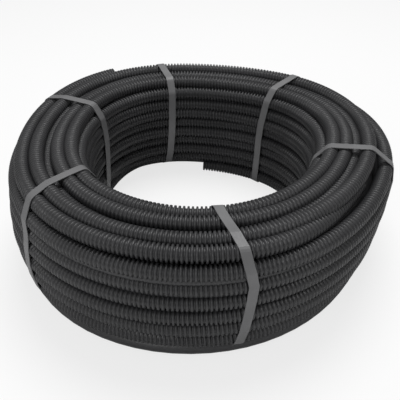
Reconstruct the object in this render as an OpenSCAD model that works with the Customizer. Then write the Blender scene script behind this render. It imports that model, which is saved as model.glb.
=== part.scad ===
// Coil of corrugated conduit, held by six flat straps. All sizes in millimetres.
// The coil lies flat: its axis is +Z, and z = 0 is the floor under the straps.
// The conduit runs clockwise, seen from above, from its inner end to its outer end.

/* [Conduit] */
// Outside diameter over the ribs
conduit_od = 16; // [12:0.5:20]
// Clear bore for the cables
conduit_id = 10.7; // [7:0.1:11]
// Wall of the ribbed tube
conduit_wall = 0.6; // [0.4:0.05:0.6]
// Distance from rib to rib
rib_pitch = 4; // [3.5:0.25:6]
// Width of the top of a rib
rib_crest = 1.6; // [1.4:0.1:1.8]
// Width of the slope at each side of a rib
rib_flank = 0.3; // [0.2:0.05:0.4]

/* [Winding] */
// Diameter of the hole through the coil, between the turns
hole_d = 240; // [200:5:300]
// Largest outside diameter: as many columns of turns are wound as fit
coil_od = 432; // [380:1:520]
// Largest height of the turns: each column is stacked as high as fits
coil_h = 148; // [110:1:200]
// Free height between one turn and the next in a column
row_gap = 2.5; // [1:0.1:4]
// Free space between a turn and those of the next column, which it nests between
nest_gap = 0.1; // [0.05:0.05:0.5]

/* [Ends] */
// Direction of the cut outer end
outer_end_angle = 125; // [120:1:140]
// Angle over which the last turn lies on the outer shoulder, back from that end
outer_lap = 150; // [145:1:156]
// Full ribs on the straight length at the outer end
end_ribs = 9; // [4:1:12]
// Direction of the cut inner end, at the bottom of the hole
inner_end_angle = 78; // [76:1:80]
// Angle without a bottom turn behind the inner end, where the first turn climbs over it
inner_gap = 34; // [32:1:36]
// Depth to which the inner end is bored
inner_bore = 24; // [8:1:40]

/* [Straps] */
// Width of a strap
strap_w = 9; // [5:0.5:16]
// Thickness of a strap
strap_t = 0.8; // [0.5:0.1:1.5]
// Gap between a strap and the turns that it holds
strap_gap = 0.15; // [0.05:0.05:0.4]
// Direction of the front strap
front_angle = -79; // [-90:1:-65]
// Direction of the front left strap
front_left_angle = -139; // [-150:1:-125]
// Direction of the rear left strap
rear_left_angle = 156; // [145:1:165]
// Direction of the rear strap
rear_angle = 107; // [95:1:115]
// Direction of the rear right strap
rear_right_angle = 46; // [35:1:60]
// Direction of the right strap
right_angle = -15; // [-25:1:0]

/* [Hidden] */
$fn = 96;
CONDUIT_BLACK = [0.12, 0.12, 0.12];
STRAP_GREY = [0.38, 0.38, 0.38];

row_pitch = conduit_od + row_gap;
nest = conduit_od + nest_gap;
column_pitch = sqrt(nest * nest - row_pitch * row_pitch / 4);
first_r = (hole_d + conduit_od) / 2;
lift = strap_t + strap_gap;
// An even number of columns comes after the first, so that both faces start on the floor
last = 2 * floor((coil_od - hole_d - 2 * conduit_od) / column_pitch / 4);
tallest = floor((coil_h - conduit_od) / row_pitch) + 1;
// The tallest column is about a third of the way out
crown = 2 * round(last / 6);
root_r = conduit_id / 2 + conduit_wall;
crest_bore_r = conduit_od / 2 - conduit_wall;
end_length = end_ribs * rib_pitch + rib_crest / 2;

// Turns in column c: the top falls by half a row for each column away from the crown
function rows(c) = tallest - ceil(abs(c - crown) / 2);
// Centre of turn k of column c, as [radius, height]: odd columns nest half a row higher
function turn(c, k) = [first_r + c * column_pitch,
                       lift + conduit_od / 2 + (k + (c % 2) / 2) * row_pitch];
// Centres of the turns that show, up the hole, over the top and down the outside.
// from = 1 leaves out the bottom turn in the hole, and lap = 1 adds one on the outer shoulder.
function exposed(from = 0, lap = 0) = concat(
    [if (from == 1) turn(1, 0)],
    [for (k = [from:rows(0) - 2]) each [turn(0, k), turn(1, k)]],
    [turn(0, rows(0) - 1)],
    [for (c = [1:last - 1]) turn(c, rows(c) - 1)],
    [if (lap == 1) turn(last, rows(last))],
    [turn(last, rows(last) - 1)],
    [for (k = [rows(last) - 2:-1:0]) each [turn(last - 1, k), turn(last, k)]],
    [if (from == 1) turn(2, 0)]);
// Centres of the turns that stand on the floor between the two faces
floor_turns = [for (c = [2:2:last - 2]) turn(c, 0)];
// Whether the last turn lies on the shoulder in a direction
function on_lap(angle) = (angle - outer_end_angle + 360) % 360 < outer_lap ? 1 : 0;
// Wave of ribs, as radius and length: crests from one offset to another in each pitch
function wave(crest_r, root_r, crest_from, crest_to, first) =
    [for (i = [first:end_ribs]) let (z = i * rib_pitch) each [
        [root_r, z + crest_from - rib_flank], [crest_r, z + crest_from],
        [crest_r, z + crest_to], [root_r, z + crest_to + rib_flank]]];

module conduit() {
    gap_end = inner_end_angle + inner_gap;
    lap_start = outer_end_angle + outer_lap;
    color(CONDUIT_BLACK) difference() {
        union() {
            winding(inner_end_angle, gap_end, from = 1);
            winding(gap_end, outer_end_angle);
            winding(outer_end_angle, lap_start, lap = 1);
            winding(lap_start, inner_end_angle + 360);
            at_outer_end() straight_end();
        }
        at_outer_end() straight_bore();
        inner_end_bore();
    }
}

// Turned winding between two directions
module winding(start, end, from = 0, lap = 0) {
    rotate([0, 0, start]) rotate_extrude(angle = end - start) difference() {
        section_block();
        free_space(from, lap);
    }
}

// Rectangle round the whole section
module section_block() {
    translate([first_r - conduit_od, lift - conduit_od])
        square([last * column_pitch + 2 * conduit_od, tallest * row_pitch + 2 * conduit_od]);
}

// All of that rectangle that is not conduit. Hidden turns are one plain core.
module free_space(from, lap) {
    difference() {
        section_block();
        polygon(exposed(from, lap));
        for (t = concat(exposed(from, lap), floor_turns)) translate(t) circle(d = conduit_od);
    }
}

// Puts a piece that runs along +Z on the end of the last turn, so that it runs straight on
module at_outer_end() {
    end = turn(last, rows(last));
    rotate([0, 0, outer_end_angle]) translate([end[0], 0, end[1]]) rotate([90, 0, 0]) children();
}

// Outside of the straight ribbed length, cut off in the middle of a crest
module straight_end() {
    rotate_extrude() intersection() {
        square([conduit_od, end_length]);
        polygon(concat([[0, 0]], wave(conduit_od / 2, root_r, 0, rib_crest, 0), [[0, end_length + rib_pitch]]));
    }
}

// Inside of that length, which follows the ribs at an even wall
module straight_bore() {
    rotate_extrude() polygon(concat([[0, rib_pitch / 2], [conduit_id / 2, rib_pitch / 2]],
        wave(crest_bore_r, conduit_id / 2, conduit_wall, rib_crest - conduit_wall, 1),
        [[crest_bore_r, end_length + rib_pitch], [0, end_length + rib_pitch]]));
}

// Curved bore in the cut face of the first turn
module inner_end_bore() {
    angle = inner_bore / first_r * 180 / PI;
    rotate([0, 0, inner_end_angle - angle]) rotate_extrude(angle = 2 * angle)
        translate(turn(0, 0)) circle(d = conduit_id);
}

// Outline that a strap follows, at a distance from the turns
module wrapped(distance, lap) {
    hull() for (t = exposed(0, lap)) translate(t) circle(d = conduit_od + 2 * distance, $fn = 48);
}

// Flat strap round the winding in one direction
module strap(angle) {
    color(STRAP_GREY) rotate([0, 0, angle]) intersection() {
        rotate_extrude() difference() {
            wrapped(strap_gap + strap_t, on_lap(angle));
            wrapped(strap_gap, on_lap(angle));
        }
        translate([0, -strap_w / 2, -conduit_od]) cube([coil_od, strap_w, coil_h + 3 * conduit_od]);
    }
}

conduit();
strap(front_angle);  // strap_front
strap(front_left_angle);  // strap_front_left
strap(rear_left_angle);  // strap_rear_left
strap(rear_angle);  // strap_rear
strap(rear_right_angle);  // strap_rear_right
strap(right_angle);  // strap_right
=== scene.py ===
import bpy, math
import numpy as np
from mathutils import Matrix, Vector


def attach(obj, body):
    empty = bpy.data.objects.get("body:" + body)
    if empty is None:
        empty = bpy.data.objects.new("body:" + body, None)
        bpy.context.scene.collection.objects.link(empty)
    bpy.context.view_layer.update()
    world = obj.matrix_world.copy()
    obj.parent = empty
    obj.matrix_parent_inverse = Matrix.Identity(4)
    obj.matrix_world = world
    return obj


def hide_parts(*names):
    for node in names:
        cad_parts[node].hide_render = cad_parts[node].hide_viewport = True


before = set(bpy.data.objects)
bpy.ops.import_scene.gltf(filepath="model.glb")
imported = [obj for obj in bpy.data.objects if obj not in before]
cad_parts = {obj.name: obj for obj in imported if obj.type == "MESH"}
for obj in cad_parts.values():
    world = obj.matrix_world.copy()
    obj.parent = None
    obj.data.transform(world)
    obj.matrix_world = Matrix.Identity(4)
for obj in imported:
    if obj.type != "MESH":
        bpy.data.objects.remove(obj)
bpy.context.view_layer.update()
scene = bpy.context.scene
MM = 0.001

# ---------------------------------------------------------------- camera
TILT, DISTANCE, LENS, ROLL = math.radians(33.95), 0.6424, 49.41, math.radians(0.2)
SHIFT_X, SHIFT_Y = -3.4, 3.6                 # the middle of the coil that keeps it in the CAD box, in mm
AIM = Vector((SHIFT_X / 1000, SHIFT_Y / 1000, 0.0735))
OFF_X, OFF_Y = -2.6 / 549.0, 21.0 / 549.0    # where the aim lies off the middle, in lens lengths
back = Vector((0, -math.cos(TILT), math.sin(TILT)))
turned = back.to_track_quat("Z", "Y").to_matrix()
turned = turned @ Matrix.Rotation(math.atan(OFF_X), 3, "Y")
turned = turned @ Matrix.Rotation(-math.atan(OFF_Y), 3, "X")
turned = turned @ Matrix.Rotation(-ROLL, 3, "Z")
lens = bpy.data.cameras.new("camera")
lens.lens, lens.sensor_width = LENS, 36.0
lens.clip_start, lens.clip_end = 0.01, 50.0
camera = bpy.data.objects.new("camera", lens)
scene.collection.objects.link(camera)
camera.matrix_world = Matrix.Translation(AIM + back * DISTANCE) @ turned.to_4x4()
scene.camera = camera

# ---------------------------------------------------------------- sizes, in mm
TUBE_R, ROOT_R, BORE_R = 8.0, 5.95, 5.35
PITCH, CREST, FLANK = 4.0, 1.6, 0.3
SIDES = 16
STRAP_W, STRAP_T, STRAP_GAP = 9.0, 0.8, 0.15
MID_Z = 73.0
LEAN_X, LEAN_Y = 0.06, -0.105                # how far the section shifts for each mm of height
OUTER_END, INNER_END = 125.0, 84.0

# Turns round the section, as (radius, height): up the hole, over the top, down the outside
HOLE = [(133, 8.9), (137, 23), (132, 37.5), (135.5, 52), (131.5, 66.5), (135, 81), (131.5, 95), (134, 109), (135, 123.5)]
TOP = [(143, 136), (157, 136), (168.5, 130), (179, 138.4)]
WALL = [(194, 136), (201.5, 121.5), (204, 105.5), (205.5, 89), (206.5, 69.5), (205.5, 51.5), (201.5, 30), (189, 8.9)]


def wander(seed, size):
    """Smooth drift round the coil, the sum of a few low waves."""
    rng = np.random.default_rng(seed)
    waves = [(m, size / m ** 0.7 * rng.uniform(0.5, 1.0), rng.uniform(0, 2 * math.pi)) for m in (1, 2, 3, 5)]
    return lambda a: sum(s * np.cos(m * a + p) for m, s, p in waves)


def smooth(x):
    x = np.clip(x, 0.0, 1.0)
    return x * x * (3 - 2 * x)


def place(r, z, a):
    """Turns a radius and height in the section into a point: the coil leans and is not quite round."""
    r = r * (1 + 0.0279 * np.cos(3 * a - 0.818) + 0.0125 * np.cos(4 * a - 2.243) - 0.004)
    return np.stack([SHIFT_X + r * np.cos(a) + LEAN_X * (z - MID_Z),
                     SHIFT_Y + r * np.sin(a) + LEAN_Y * (z - MID_Z), z + 0 * a], -1)


class Turn:
    """One turn: its centre line's radius and height at each azimuth (radians)."""
    def __init__(self, r, z, seed, size=0.9, start=None, end=None, shape=None):
        self.r, self.z = r, z
        self.dr, self.dz = wander(seed, size), wander(seed + 500, size)
        self.start, self.end, self.shape = start, end, shape

    def at(self, a):
        r, z = self.r + self.dr(a), self.z + self.dz(a)
        if self.shape:
            r, z = self.shape(a, r, z)
        z = np.clip(z, 8.95, 138.4)
        return r, z

    def point(self, a):
        return place(*self.at(a), a)


turns_bore = [Turn(r, z, 10 + i, 0.7) for i, (r, z) in enumerate(HOLE)]
turns_top = [Turn(r, z, 40 + i, 0.8) for i, (r, z) in enumerate(TOP)]
turns_wall = [Turn(r, z, 70 + i, 0.5) for i, (r, z) in enumerate(WALL)]


def tube(turn, verts, faces, base, ribbed=True, start=None, end=None):
    """Adds a turn's mesh. With start and end, in radians going clockwise, it is open there and cut square."""
    closed = start is None
    a0, a1 = (2 * math.pi, 0.0) if closed else (start, end)
    coarse = np.linspace(a0, a1, 721)
    pts = turn.point(coarse)
    s = np.concatenate([[0], np.cumsum(np.linalg.norm(np.diff(pts, axis=0), axis=1))])
    length = s[-1]
    n = max(3, int(round(length / PITCH)))
    step = length / n
    if ribbed:
        prof = [(0.0, TUBE_R), (CREST, TUBE_R), (CREST + FLANK + 0.12, ROOT_R), (PITCH - FLANK - 0.12, ROOT_R)]
        sides = SIDES
    else:
        n, step, prof, sides = 72, length / 72, [(0.0, TUBE_R - 0.6)], 10
    at, rad = [], []
    for i in range(n):
        for o, r in prof:
            at.append(i * step + o * step / PITCH if ribbed else i * step)
            rad.append(r)
    if not closed:
        at.append(length)
        rad.append(TUBE_R if ribbed else TUBE_R - 0.6)
    at, rad = np.array(at), np.array(rad)
    a = np.interp(at, s, coarse)
    p = turn.point(a)
    eps = 1e-3
    t = turn.point(a - eps) - turn.point(a + eps)
    t /= np.linalg.norm(t, axis=1)[:, None]
    up = np.array([0.0, 0.0, 1.0])
    side = np.cross(t, up)
    side /= np.linalg.norm(side, axis=1)[:, None]
    top = np.cross(side, t)
    ang = np.linspace(0, 2 * math.pi, sides, endpoint=False)
    ring = (p[:, None, :] + rad[:, None, None] * (np.cos(ang)[None, :, None] * side[:, None, :]
            + np.sin(ang)[None, :, None] * top[:, None, :]))
    m = len(at)
    extra = []
    if not closed:
        # a cut end at each open side: the square face of the wall, then the bore going in
        for which in (0, -1):
            inner = []
            sign = 1 if which == 0 else -1
            for depth, r in ((0.0, TUBE_R - 0.6), (1.4, TUBE_R - 0.6), (2.0, BORE_R), (14.0, BORE_R), (14.2, 0.05)):
                c = p[which] + sign * depth * t[which]
                inner.append(c[None, :] + r * (np.cos(ang)[:, None] * side[which] + np.sin(ang)[:, None] * top[which]))
            extra.append(np.array(inner))
    k = np.arange(sides)
    k1 = (k + 1) % sides
    rows = m if closed else m - 1
    i = np.arange(rows)[:, None]
    j = (i + 1) % m
    quads = np.stack(np.broadcast_arrays(base + i * sides + k, base + i * sides + k1,
                                         base + j * sides + k1, base + j * sides + k), -1).reshape(-1, 4)
    verts.append(ring.reshape(-1, 3))
    faces.append(quads)
    base += m * sides
    if not closed:
        for which, e in zip((0, m - 1), extra):
            first = base - m * sides + which * sides if which == 0 else base - m * sides + which * sides
            if which != 0:
                first = end_ring
            else:
                end_ring = first + (m - 1) * sides
            prev = first
            for row in e:
                verts.append(row)
                a4 = (prev + k, prev + k1, base + k1, base + k)
                if which == 0:
                    a4 = a4[::-1]
                faces.append(np.stack(a4, -1))
                prev = base
                base += sides
    return base


def mesh_object(name, verts, faces, uv=None):
    v = np.concatenate(verts) * MM
    f = np.concatenate(faces).astype(np.int32)
    mesh = bpy.data.meshes.new(name)
    mesh.vertices.add(len(v))
    mesh.vertices.foreach_set("co", v.astype(np.float32).ravel())
    mesh.loops.add(f.size)
    mesh.loops.foreach_set("vertex_index", f.ravel())
    mesh.polygons.add(len(f))
    mesh.polygons.foreach_set("loop_start", np.arange(0, f.size, 4, dtype=np.int32))
    mesh.update(calc_edges=True)
    mesh.validate()
    mesh.polygons.foreach_set("use_smooth", np.ones(len(mesh.polygons), bool))
    if uv is not None:
        layer = mesh.uv_layers.new(name="UVMap")
        layer.data.foreach_set("uv", uv[f.ravel()].astype(np.float32).ravel())
    ob = bpy.data.objects.new(name, mesh)
    scene.collection.objects.link(ob)
    return ob


# ---------------------------------------------------------------- materials
def nodes_of(name):
    mat = bpy.data.materials.new(name)
    mat.use_nodes = True
    return mat, mat.node_tree, mat.node_tree.nodes["Principled BSDF"]


def noise(tree, scale, detail=3.0, coord=None):
    n = tree.nodes.new("ShaderNodeTexNoise")
    n.inputs["Scale"].default_value = scale
    n.inputs["Detail"].default_value = detail
    if coord is not None:
        tree.links.new(coord, n.inputs["Vector"])
    return n


def ramp(tree, value, stops):
    r = tree.nodes.new("ShaderNodeValToRGB")
    while len(r.color_ramp.elements) < len(stops):
        r.color_ramp.elements.new(0.5)
    for e, (pos, col) in zip(r.color_ramp.elements, stops):
        e.position = pos
        e.color = (col, col, col, 1) if isinstance(col, (int, float)) else (*col, 1)
    tree.links.new(value, r.inputs["Fac"])
    return r.outputs["Color"]


def conduit_material():
    mat, tree, bsdf = nodes_of("conduit_plastic")
    where = tree.nodes.new("ShaderNodeTexCoord").outputs["Object"]
    broad = noise(tree, 14.0, 4.0, where)
    tree.links.new(ramp(tree, broad.outputs["Fac"], [(0.3, (0.022, 0.022, 0.0235)), (0.7, (0.034, 0.034, 0.036))]),
                   bsdf.inputs["Base Color"])
    fine = noise(tree, 420.0, 4.0, where)
    tree.links.new(ramp(tree, fine.outputs["Fac"], [(0.3, 0.36), (0.7, 0.52)]), bsdf.inputs["Roughness"])
    bump = tree.nodes.new("ShaderNodeBump")
    bump.inputs["Strength"].default_value = 0.25
    bump.inputs["Distance"].default_value = 0.0002
    tree.links.new(fine.outputs["Fac"], bump.inputs["Height"])
    tree.links.new(bump.outputs["Normal"], bsdf.inputs["Normal"])
    return mat


def strap_material():
    mat, tree, bsdf = nodes_of("strap_plastic")
    where = tree.nodes.new("ShaderNodeTexCoord").outputs["Object"]
    broad = noise(tree, 30.0, 4.0, where)
    tree.links.new(ramp(tree, broad.outputs["Fac"], [(0.3, (0.115, 0.115, 0.118)), (0.7, (0.15, 0.15, 0.153))]),
                   bsdf.inputs["Base Color"])
    fine = noise(tree, 900.0, 3.0, where)
    tree.links.new(ramp(tree, fine.outputs["Fac"], [(0.3, 0.42), (0.7, 0.58)]), bsdf.inputs["Roughness"])
    bump = tree.nodes.new("ShaderNodeBump")
    bump.inputs["Strength"].default_value = 0.3
    bump.inputs["Distance"].default_value = 0.0001
    tree.links.new(fine.outputs["Fac"], bump.inputs["Height"])
    tree.links.new(bump.outputs["Normal"], bsdf.inputs["Normal"])
    return mat


CONDUIT = conduit_material()
STRAP = strap_material()


def finish_piece(ob, mat, slot, *nodes):
    ob.data.materials.append(mat)
    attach(ob, "root")
    if nodes:
        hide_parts(*nodes)


def conduit_piece(name, turns, ribbed=True):
    verts, faces, base = [], [], 0
    for t in turns:
        base = tube(t, verts, faces, base, ribbed, t.start, t.end)
    ob = mesh_object(name, verts, faces)
    finish_piece(ob, CONDUIT, "conduit_plastic", "conduit")
    return ob


# the turn in the bottom of the hole starts at the inner end and dives between the others to finish
def inner_shape(a, r, z):
    gone = smooth((math.radians(INNER_END - 360 + 75) - a) / math.radians(45))
    return r + 17 * gone, z + 3 * gone


turns_bore[0].start, turns_bore[0].end = math.radians(INNER_END), math.radians(INNER_END - 360 + 12)
turns_bore[0].shape = inner_shape


# the last turn comes up from between the others at the front and lies on the outer shoulder up to its end
def outer_shape(a, r, z):
    low = smooth((a - math.radians(-80)) / math.radians(45))
    return r - 12 * low, z - 8 * low


last_turn = turns_wall[0]
last_turn.start, last_turn.end = math.radians(-30), math.radians(OUTER_END - 360)
last_turn.shape = outer_shape

conduit_piece("turns_hole_lower", turns_bore[:5])
conduit_piece("turns_hole_upper", turns_bore[5:])
conduit_piece("turns_top", turns_top)
conduit_piece("turns_wall_upper", turns_wall[:4])
conduit_piece("turns_wall_lower", turns_wall[4:])

# hidden turns, plain, behind the ones that show
core = []
for row in range(9):
    for col in range(5):
        r, z = 143 + col * 14.2, 15 + row * 14.0
        if z < 126:
            core.append(Turn(r, z, 200 + row * 7 + col, 0.3))
conduit_piece("turns_inside", core, ribbed=False)


# ---------------------------------------------------------------- straps
MIDDLE = np.array([168.0, MID_Z])


def centres_at(a):
    out = []
    for t in turns_bore + turns_top + turns_wall:
        lag = 0.0 if t.start is None else (t.start - a) % (2 * math.pi)
        if t.start is None or lag <= t.start - t.end:
            out.append(t.at(a if t.start is None else t.start - lag))
    return np.array(out, float).reshape(-1, 2)


def hull(points):
    pts = points[np.lexsort((points[:, 1], points[:, 0]))]

    def half(q):
        h = []
        for p in q:
            while len(h) > 1 and ((h[-1][0] - h[-2][0]) * (p[1] - h[-2][1])
                                  - (h[-1][1] - h[-2][1]) * (p[0] - h[-2][0])) <= 0:
                h.pop()
            h.append(p)
        return h[:-1]
    return np.array(half(pts) + half(pts[::-1]))


def outline(a, out, angles):
    """Where a band stretched round the turns at azimuth a lies, in given directions from the middle."""
    ring = np.linspace(0, 2 * math.pi, 40, endpoint=False)
    h = hull((centres_at(a)[:, None, :] + out * np.stack([np.cos(ring), np.sin(ring)], -1)[None]).reshape(-1, 2))
    q, e = h - MIDDLE, np.roll(h, -1, axis=0) - h
    d = np.stack([np.cos(angles), np.sin(angles)], -1)
    den = d[:, None, 0] * e[None, :, 1] - d[:, None, 1] * e[None, :, 0]
    den = np.where(np.abs(den) < 1e-9, 1e-9, den)
    reach = (q[None, :, 0] * e[None, :, 1] - q[None, :, 1] * e[None, :, 0]) / den
    along = (q[None, :, 0] * d[:, None, 1] - q[None, :, 1] * d[:, None, 0]) / den
    ok = (along >= -1e-6) & (along <= 1 + 1e-6) & (reach > 0)
    return MIDDLE + d * np.where(ok, reach, 0.0).max(1)[:, None]


# azimuth of each strap in the hole, over the outer top edge, and at the foot of the outer wall
STRAPS = {
    "strap_front": (-85, -78, -79), "strap_front_left": (-147, -139, -140), "strap_rear_left": (154, 157, 157),
    "strap_rear": (106, 108, 107), "strap_rear_right": (49, 47, 47), "strap_right": (-16, -13, -14)}


def strap_piece(name, azimuths):
    n, steps = 200, 9
    ang = np.linspace(0, 2 * math.pi, n, endpoint=False)
    keys = np.array([-130, -60, 40, 120, 180, 230]) / 180 * math.pi
    hole, top, foot = np.radians(azimuths)
    az = np.interp((ang + math.radians(130)) % (2 * math.pi) - math.radians(130), keys,
                   np.array([(hole + foot) / 2, foot, top, hole, hole, (hole + foot) / 2]))
    stops = np.linspace(az.min(), az.max() + 1e-6, steps)
    rings = []
    for out, w in ((TUBE_R + STRAP_GAP, 1), (TUBE_R + STRAP_GAP, -1),
                   (TUBE_R + STRAP_GAP + STRAP_T, -1), (TUBE_R + STRAP_GAP + STRAP_T, 1)):
        sheets = np.array([outline(a, out, ang) for a in stops])
        f = (az - stops[0]) / (stops[1] - stops[0])
        i = np.clip(f.astype(int), 0, steps - 2)
        f = (f - i)[:, None]
        rz = sheets[i, np.arange(n)] * (1 - f) + sheets[i + 1, np.arange(n)] * f
        p = place(rz[:, 0], rz[:, 1], az)
        across = np.stack([-np.sin(az), np.cos(az), 0 * az], -1)
        rings.append(p + w * STRAP_W / 2 * across)
    i = np.arange(n)
    j = (i + 1) % n
    faces = [np.stack([a * n + i, a * n + j, b * n + j, b * n + i], -1) for a, b in ((0, 1), (1, 2), (2, 3), (3, 0))]
    ob = mesh_object(name + "_band", [np.concatenate(rings)], faces)
    finish_piece(ob, STRAP, "strap_plastic", name)
    ob.data.polygons.foreach_set("use_smooth", np.zeros(len(ob.data.polygons), bool))
    return ob


for name, azimuths in STRAPS.items():
    strap_piece(name, azimuths)

# ---------------------------------------------------------------- floor, backdrop and light
def stage_piece(name, mesh_fn):
    ob = mesh_fn
    return ob


bpy.ops.mesh.primitive_plane_add(size=12.0, location=(0, 0, 0))
floor = bpy.context.object
floor.name = "floor"
fm, ft, fb = nodes_of("floor_white")
fb.inputs["Base Color"].default_value = (0.86, 0.86, 0.86, 1)
fb.inputs["Roughness"].default_value = 0.9
fb.inputs["Specular IOR Level"].default_value = 0.1
out = ft.nodes["Material Output"]
glow = ft.nodes.new("ShaderNodeEmission")
glow.inputs["Strength"].default_value = 1.0
path = ft.nodes.new("ShaderNodeLightPath")
part = ft.nodes.new("ShaderNodeMath")
part.operation = "MULTIPLY"
part.inputs[1].default_value = 0.75
ft.links.new(path.outputs["Is Camera Ray"], part.inputs[0])
mix = ft.nodes.new("ShaderNodeMixShader")
ft.links.new(part.outputs[0], mix.inputs["Fac"])
ft.links.new(fb.outputs[0], mix.inputs[1])
ft.links.new(glow.outputs[0], mix.inputs[2])
ft.links.new(mix.outputs[0], out.inputs["Surface"])
floor.data.materials.append(fm)

world = bpy.data.worlds.new("world")
scene.world = world
world.use_nodes = True
wt = world.node_tree
bg = wt.nodes["Background"]
bg.inputs["Color"].default_value = (1, 1, 1, 1)
bg.inputs["Strength"].default_value = 0.35
bg2 = wt.nodes.new("ShaderNodeBackground")
bg2.inputs["Color"].default_value = (1, 1, 1, 1)
bg2.inputs["Strength"].default_value = 1.0
wpath = wt.nodes.new("ShaderNodeLightPath")
wmix = wt.nodes.new("ShaderNodeMixShader")
wt.links.new(wpath.outputs["Is Camera Ray"], wmix.inputs["Fac"])
wt.links.new(bg.outputs[0], wmix.inputs[1])
wt.links.new(bg2.outputs[0], wmix.inputs[2])
wt.links.new(wmix.outputs[0], wt.nodes["World Output"].inputs["Surface"])


def area(name, at, aim, size, power):
    lamp = bpy.data.lights.new(name, "AREA")
    lamp.shape, lamp.size, lamp.energy = "DISK", size, power
    ob = bpy.data.objects.new(name, lamp)
    scene.collection.objects.link(ob)
    ob.location = at
    ob.rotation_mode = "QUATERNION"
    ob.rotation_quaternion = (Vector(at) - Vector(aim)).to_track_quat("Z", "Y")
    return ob


area("key", (0.1, 0.35, 1.6), (0, 0, 0.1), 0.9, 20)
area("fill", (-0.6, -1.3, 0.9), (0, 0, 0.07), 0.8, 6)

scene.view_settings.view_transform = "Standard"
